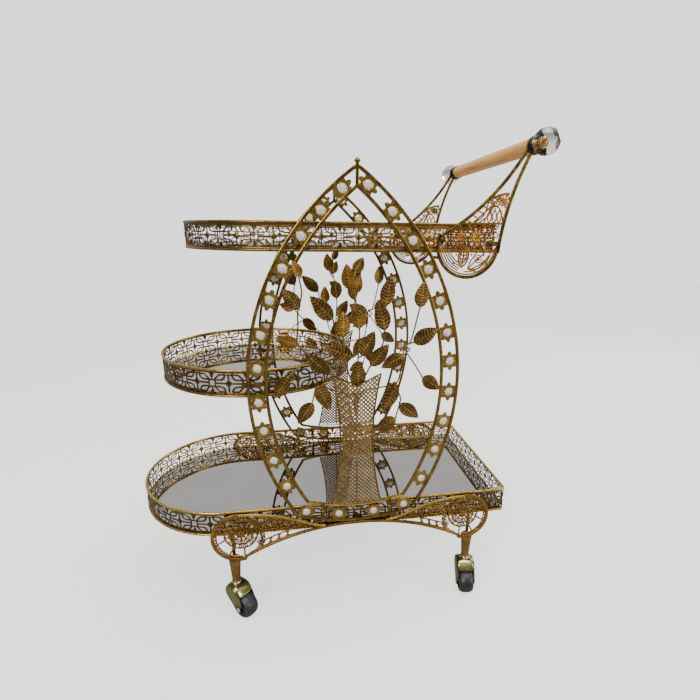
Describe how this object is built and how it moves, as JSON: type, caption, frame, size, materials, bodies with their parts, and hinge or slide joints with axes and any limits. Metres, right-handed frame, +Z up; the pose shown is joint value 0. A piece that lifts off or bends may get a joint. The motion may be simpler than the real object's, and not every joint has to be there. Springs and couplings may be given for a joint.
{
  "type": "serving trolley",
  "caption": "Tiered serving trolley with mirrored trays, pierced gallery rails, pointed arch sides holding a vase of leaves, a push handle with crystal knobs, and swivel casters.",
  "frame": {"origin": "on the floor, under the middle of the whole trolley's outline, handle and knobs included", "axes": "+Z up, +X towards the push handle, +Y towards the back arch; the front arch faces -Y"},
  "size_m": [0.75, 0.493, 0.9],
  "materials": {
    "arch_metal": "satin antique gold",
    "lace_metal": "satin antique gold, darker",
    "rim_metal": "polished antique gold",
    "leaf_metal": "satin bronze gold",
    "strap_metal": "satin brown gold",
    "mirror": "silvered glass",
    "stone_glass": "faceted clear glass",
    "crystal": "clear cut crystal",
    "rod_wood": "satin lacquer",
    "black_gloss": "gloss",
    "silver": "polished",
    "fork_metal": "polished pale gold",
    "wheel_rubber": "smooth",
    "tie_steel": "plain"
  },
  "bodies": {
    "trolley": {"front_arch_outer": "arch_metal", "front_arch_inner": "arch_metal", "back_arch_outer": "arch_metal", "back_arch_inner": "arch_metal", "front_flower_plates": "lace_metal", "back_flower_plates": "lace_metal", "front_stones": "stone_glass", "back_stones": "stone_glass", "arch_finials": "rim_metal", "front_vase": "lace_metal", "back_vase": "lace_metal", "front_stems": "leaf_metal", "back_stems": "leaf_metal", "front_leaves": "leaf_metal", "back_leaves": "leaf_metal", "bottom_base": "arch_metal", "bottom_gallery": "lace_metal", "bottom_top_rim": "rim_metal", "bottom_mirror": "mirror", "middle_base": "arch_metal", "middle_gallery": "lace_metal", "middle_top_rim": "rim_metal", "middle_mirror": "mirror", "top_base": "arch_metal", "top_gallery": "lace_metal", "top_top_rim": "rim_metal", "top_mirror": "mirror", "seam_strips": "rim_metal", "frame_straps": "strap_metal", "tray_bolts": "strap_metal", "front_apron_frame": "arch_metal", "back_apron_frame": "arch_metal", "front_apron_filigree": "lace_metal", "back_apron_filigree": "lace_metal", "front_left_leg": "arch_metal", "front_right_leg": "arch_metal", "back_left_leg": "arch_metal", "back_right_leg": "arch_metal", "caster_stems": "silver", "front_bracket": "arch_metal", "back_bracket": "arch_metal", "front_bracket_filigree": "lace_metal", "back_bracket_filigree": "lace_metal", "handle_rod": "rod_wood", "handle_tie_rod": "tie_steel", "handle_collars": "black_gloss", "handle_necks": "crystal", "handle_knobs": "crystal"},
    "front_left_caster": {"front_left_fork": "fork_metal", "front_left_axle": "silver"},
    "front_left_roller": {"front_left_wheel": "wheel_rubber"},
    "front_right_caster": {"front_right_fork": "fork_metal", "front_right_axle": "silver"},
    "front_right_roller": {"front_right_wheel": "wheel_rubber"},
    "back_left_caster": {"back_left_fork": "fork_metal", "back_left_axle": "silver"},
    "back_left_roller": {"back_left_wheel": "wheel_rubber"},
    "back_right_caster": {"back_right_fork": "fork_metal", "back_right_axle": "silver"},
    "back_right_roller": {"back_right_wheel": "wheel_rubber"}
  },
  "joints": [
    {"name": "front_left_swivel", "type": "hinge", "parent": "trolley", "child": "front_left_caster", "pos_m": [-0.182, -0.179, 0.066], "axis": [0, 0, 1], "continuous": true},
    {"name": "front_left_spin", "type": "hinge", "parent": "front_left_caster", "child": "front_left_roller", "pos_m": [-0.16591, -0.194, 0.024], "axis": [0.682, 0.7314, 0], "continuous": true},
    {"name": "front_right_swivel", "type": "hinge", "parent": "trolley", "child": "front_right_caster", "pos_m": [0.298, -0.179, 0.066], "axis": [0, 0, 1], "continuous": true},
    {"name": "front_right_spin", "type": "hinge", "parent": "front_right_caster", "child": "front_right_roller", "pos_m": [0.29456, -0.20073, 0.024], "axis": [0.9877, -0.1564, 0], "continuous": true},
    {"name": "back_left_swivel", "type": "hinge", "parent": "trolley", "child": "back_left_caster", "pos_m": [-0.182, 0.179, 0.066], "axis": [0, 0, 1], "continuous": true},
    {"name": "back_left_spin", "type": "hinge", "parent": "back_left_caster", "child": "back_left_roller", "pos_m": [-0.16786, 0.16215, 0.024], "axis": [0.766, 0.6428, 0], "continuous": true},
    {"name": "back_right_swivel", "type": "hinge", "parent": "trolley", "child": "back_right_caster", "pos_m": [0.298, 0.179, 0.066], "axis": [0, 0, 1], "continuous": true},
    {"name": "back_right_spin", "type": "hinge", "parent": "back_right_caster", "child": "back_right_roller", "pos_m": [0.29992, 0.15708, 0.024], "axis": [0.9962, 0.0872, 0], "continuous": true}
  ]
}
